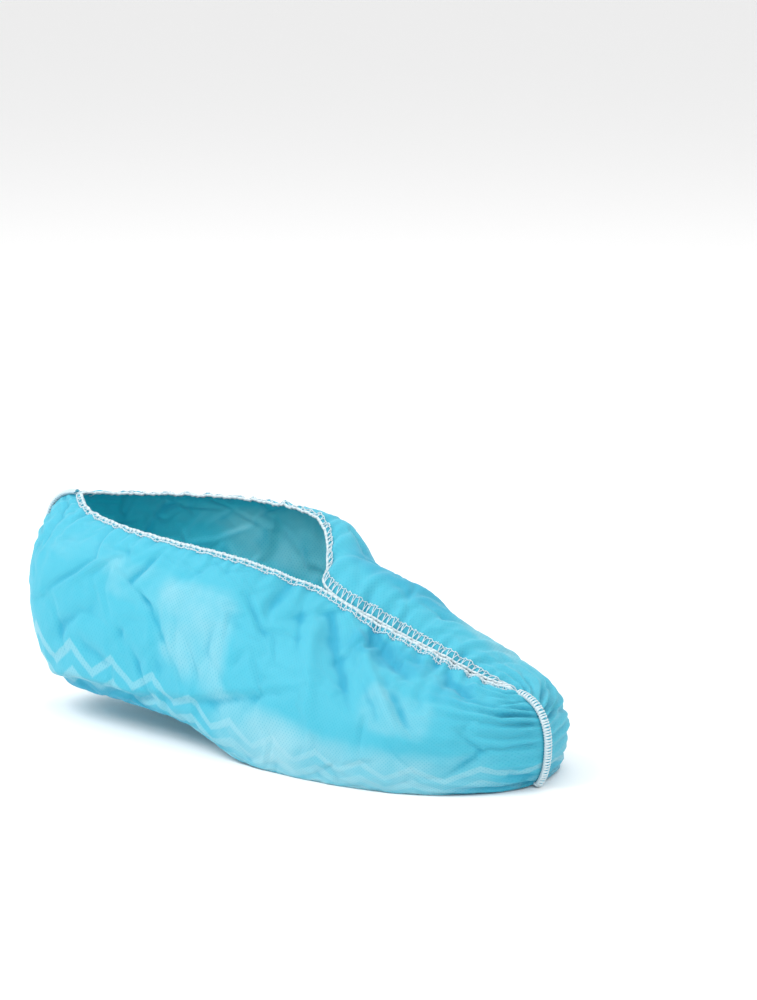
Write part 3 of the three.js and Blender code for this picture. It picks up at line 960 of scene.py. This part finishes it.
def cloth_material(scene, name, coating):
    """Bonded nonwoven: painted shade in deep folds and tucks, paler on the foot, bond points, fibres and
    grip stripes.

    coating is how strongly the stripes show. They are printed on the outside only.
    """
    colours, cloth = scene.cover_colours, scene.cover_cloth
    made, nodes, links = new_material(name)
    shader = nodes["Principled BSDF"]
    shader.inputs["Sheen Weight"].default_value = 0.1
    shader.inputs["Sheen Roughness"].default_value = 0.5
    shader.inputs["Subsurface Weight"].default_value = 0.25
    shader.inputs["Subsurface Radius"].default_value = (0.2, 0.9, 1.0)
    shader.inputs["Subsurface Scale"].default_value = 0.004

    place = nodes.new("ShaderNodeUVMap")
    mapping = nodes.new("ShaderNodeMapping")
    mapping.inputs["Scale"].default_value = (cloth.cut_length / MM, cloth.cut_width / MM, 1)
    mapping.inputs["Location"].default_value = (0, -cloth.cut_width / MM / 2, 0)
    links.new(place.outputs["UV"], mapping.inputs["Vector"])
    split = nodes.new("ShaderNodeSeparateXYZ")
    links.new(mapping.outputs["Vector"], split.inputs["Vector"])
    x, y = split.outputs["X"], split.outputs["Y"]

    rise = math_node(nodes, links, "ADD", x, y)
    fall = math_node(nodes, links, "SUBTRACT", x, y)
    step = BOND_PITCH * math.sqrt(2)
    bonds = math_node(
        nodes, links, "ADD",
        math_node(nodes, links, "PINGPONG", math_node(nodes, links, "DIVIDE", rise, step), 0.5),
        math_node(nodes, links, "PINGPONG", math_node(nodes, links, "DIVIDE", fall, step), 0.5),
    )
    bond = smooth_step(nodes, links, bonds, 0.6, 0.85)

    fibres = tangled_fibres(nodes, links, mapping.outputs["Vector"], 0.9)
    cloud = nodes.new("ShaderNodeTexNoise")
    links.new(mapping.outputs["Vector"], cloud.inputs["Vector"])
    cloud.inputs["Scale"].default_value = 0.06
    cloud.inputs["Detail"].default_value = 4

    wave = math_node(
        nodes, links, "PINGPONG", math_node(nodes, links, "DIVIDE", x, GRIP["period"]), 0.5
    )
    swing = math_node(nodes, links, "MULTIPLY", wave, 2 * GRIP["swing"])
    bent = math_node(nodes, links, "ADD", y, swing)
    edge = math_node(nodes, links, "ABSOLUTE", bent)
    stripe = math_node(
        nodes, links, "PINGPONG", math_node(nodes, links, "DIVIDE", bent, GRIP["spacing"]), 0.5
    )
    coated = smooth_step(nodes, links, stripe, GRIP["share"] / 2 + 0.06, GRIP["share"] / 2 - 0.06)
    inside = smooth_step(nodes, links, edge, GRIP["reach"] + 1, GRIP["reach"])
    grip = math_node(nodes, links, "MULTIPLY", coated, inside)
    grip = math_node(nodes, links, "MULTIPLY", grip, 1 if coating else 0)

    touch = math_node(
        nodes, links, "ADD", attribute(nodes, "touch"),
        math_node(nodes, links, "MULTIPLY_ADD", cloud.outputs["Fac"], 0.5, -0.25),
    )
    hollow = attribute(nodes, "hollow")
    colour = mix_colour(
        nodes, links, smooth_step(nodes, links, touch, 0.05, 0.95), colours.cloth, colours.pale
    )
    grip_share = math_node(nodes, links, "MULTIPLY", grip, coating)
    colour = mix_colour(nodes, links, grip_share, colour, colours.pale)
    # Painted shade: the deep colour is mixed in where the hollow attribute marks folds and tucks.
    painted_fold_shade = smooth_step(nodes, links, hollow, 0.05, 0.9)
    colour = mix_colour(nodes, links, painted_fold_shade, colour, colours.deep)
    # Bond points have a darker tone of their own, and they show darker still in the painted shade of
    # folds.
    bond_depth = math_node(nodes, links, "MULTIPLY_ADD", painted_fold_shade, 0.35, 0.42)
    bond_share = math_node(nodes, links, "MULTIPLY", bond, bond_depth)
    colour = mix_colour(nodes, links, bond_share, colour, colours.deep)
    fibre_share = math_node(nodes, links, "MULTIPLY_ADD", fibres, 0.5, -0.16)
    fibre_share = smooth_step(nodes, links, fibre_share, 0.0, 0.4)
    fibre_share = math_node(nodes, links, "MULTIPLY", fibre_share, 0.14)
    colour = mix_colour(nodes, links, fibre_share, colour, colours.pale)
    links.new(colour, shader.inputs["Base Color"])

    height = math_node(nodes, links, "MULTIPLY_ADD", bond, -0.6, 0.6)
    height = math_node(nodes, links, "MULTIPLY_ADD", fibres, 0.5, height)
    height = math_node(nodes, links, "MULTIPLY_ADD", grip, 0.5, height)
    bump = nodes.new("ShaderNodeBump")
    bump.inputs["Strength"].default_value = 0.6
    bump.inputs["Distance"].default_value = 0.15 * MM
    links.new(height, bump.inputs["Height"])
    links.new(bump.outputs["Normal"], shader.inputs["Normal"])
    rough = math_node(nodes, links, "MULTIPLY_ADD", grip, -0.16, 0.66)
    links.new(rough, shader.inputs["Roughness"])
    return made


def white_yarn(scene):
    return yarn_material("white yarn", scene.cover_colours.thread, scene)


def yarn_material(name, main, scene):
    """Fuzzy textured yarn or raw cloth edge in one main colour."""
    made = bpy.data.materials.get(name)
    if made:
        return made
    made, nodes, links = new_material(name)
    shader = nodes["Principled BSDF"]
    shader.inputs["Roughness"].default_value = 0.7
    shader.inputs["Sheen Weight"].default_value = 0.3
    place = nodes.new("ShaderNodeTexCoord")
    fuzz = tangled_fibres(nodes, links, place.outputs["Object"], 900)
    shade = mix_colour(
        nodes, links, math_node(nodes, links, "MULTIPLY", fuzz, 0.35),
        main, scene.cover_colours.pale,
    )
    links.new(shade, shader.inputs["Base Color"])
    bump = nodes.new("ShaderNodeBump")
    bump.inputs["Strength"].default_value = 0.5
    bump.inputs["Distance"].default_value = 0.1 * MM
    links.new(fuzz, bump.inputs["Height"])
    links.new(bump.outputs["Normal"], shader.inputs["Normal"])
    return made


# ---- Studio ----

AIM = Vector((78, 0, 45)) * MM  # what the camera is aimed at, from the origin and the floor
LENS = 142.4
SHIFT = (0.0975, 0.1409)
LIGHTS = table(
    "azimuth elevation distance size power",
    (-35, 48, 1.6, 0.9, 15),
    (62, 38, 1.8, 1.4, 9),
    (190, 60, 1.8, 1.2, 6),
)


def around(azimuth, elevation, distance):
    """A place round the aim: azimuth 0 is on -Y, and grows towards the toe."""
    flat = math.cos(elevation) * distance
    away = Vector((math.sin(azimuth) * flat, -math.cos(azimuth) * flat, math.sin(elevation) * distance))
    return AIM + Vector((0, 0, FLOOR_Z)) + away


def look_at_aim(thing):
    aim = AIM + Vector((0, 0, FLOOR_Z))
    thing.rotation_euler = (thing.location - aim).to_track_quat("Z", "Y").to_euler()


class SCENE_OT_cover_studio(bpy.types.Operator):
    """Sets up the floor, the soft light and the camera"""

    bl_idname = "scene.cover_studio"
    bl_label = "Studio"

    def execute(self, context):
        studio = context.scene.cover_studio
        bm = bmesh.new()
        bmesh.ops.create_grid(bm, x_segments=1, y_segments=1, size=6)
        bmesh.ops.translate(bm, verts=bm.verts, vec=(0, 0, FLOOR_Z))
        mesh = bpy.data.meshes.new("floor")
        bm.to_mesh(mesh)
        bm.free()
        floor = bpy.data.objects.new("floor", mesh)
        context.scene.collection.objects.link(floor)
        made, nodes, _ = new_material("pale floor")
        nodes["Principled BSDF"].inputs["Base Color"].default_value = (0.95, 0.95, 0.95, 1)
        nodes["Principled BSDF"].inputs["Roughness"].default_value = 0.8
        mesh.materials.append(made)

        world = bpy.data.worlds.new("studio")
        world.use_nodes = True
        background = world.node_tree.nodes["Background"]
        background.inputs["Color"].default_value = (1, 1, 1, 1)
        background.inputs["Strength"].default_value = 0.88
        context.scene.world = world

        context.scene.view_settings.view_transform = "Standard"
        for number, row in enumerate(LIGHTS):
            lamp = bpy.data.lights.new(f"soft_light_{number}", "AREA")
            lamp.size = row["size"]
            lamp.energy = row["power"]
            thing = bpy.data.objects.new(lamp.name, lamp)
            thing.location = around(
                math.radians(row["azimuth"]), math.radians(row["elevation"]), row["distance"]
            )
            look_at_aim(thing)
            context.scene.collection.objects.link(thing)

        camera = bpy.data.objects.new("camera", bpy.data.cameras.new("camera"))
        camera.data.lens = LENS
        camera.data.shift_x, camera.data.shift_y = SHIFT
        camera.data.clip_end = 20
        camera.location = around(studio.azimuth, studio.elevation, studio.distance)
        look_at_aim(camera)
        context.scene.collection.objects.link(camera)
        context.scene.camera = camera
        return {"FINISHED"}


class VIEW3D_PT_shoe_cover(bpy.types.Panel):
    """The cover's settings and the steps that build it"""

    bl_label = "Shoe cover"
    bl_space_type = "VIEW_3D"
    bl_region_type = "UI"
    bl_category = "Shoe cover"

    def draw(self, context):
        for name in SETTINGS:
            settings = getattr(context.scene, name)
            for prop in settings.bl_rna.properties:
                if prop.identifier not in ("rna_type", "name"):
                    self.layout.prop(settings, prop.identifier)
        for operator in OPERATORS:
            self.layout.operator(operator.bl_idname)


SETTINGS = {
    "cover_cloth": CoverCloth,
    "cover_thread": CoverThread,
    "cover_colours": CoverColours,
    "cover_studio": CoverStudio,
}
OPERATORS = (
    SCENE_OT_cover_studio,
    MESH_OT_cover_sheet,
    MESH_OT_cover_elastic,
    MESH_OT_cover_overlock,
    MESH_OT_cover_seams,
)


def register():
    for cls in (*SETTINGS.values(), *OPERATORS, VIEW3D_PT_shoe_cover):
        bpy.utils.register_class(cls)
    for name, cls in SETTINGS.items():
        setattr(bpy.types.Scene, name, PointerProperty(type=cls))


def unregister():
    for name in SETTINGS:
        delattr(bpy.types.Scene, name)
    for cls in (VIEW3D_PT_shoe_cover, *reversed(OPERATORS), *reversed(SETTINGS.values())):
        bpy.utils.unregister_class(cls)


def main():
    register()
    bpy.ops.scene.cover_studio()
    bpy.ops.mesh.cover_sheet()
    bpy.ops.mesh.cover_elastic()
    bpy.ops.mesh.cover_overlock()
    bpy.ops.mesh.cover_seams()
    trims = ["elastic", "overlock_thread"]
    trims += [name + part for name in SEAM_NODES for part in ("_roll", "_thread")]
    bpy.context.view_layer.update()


if __name__ == "__main__":
    main()
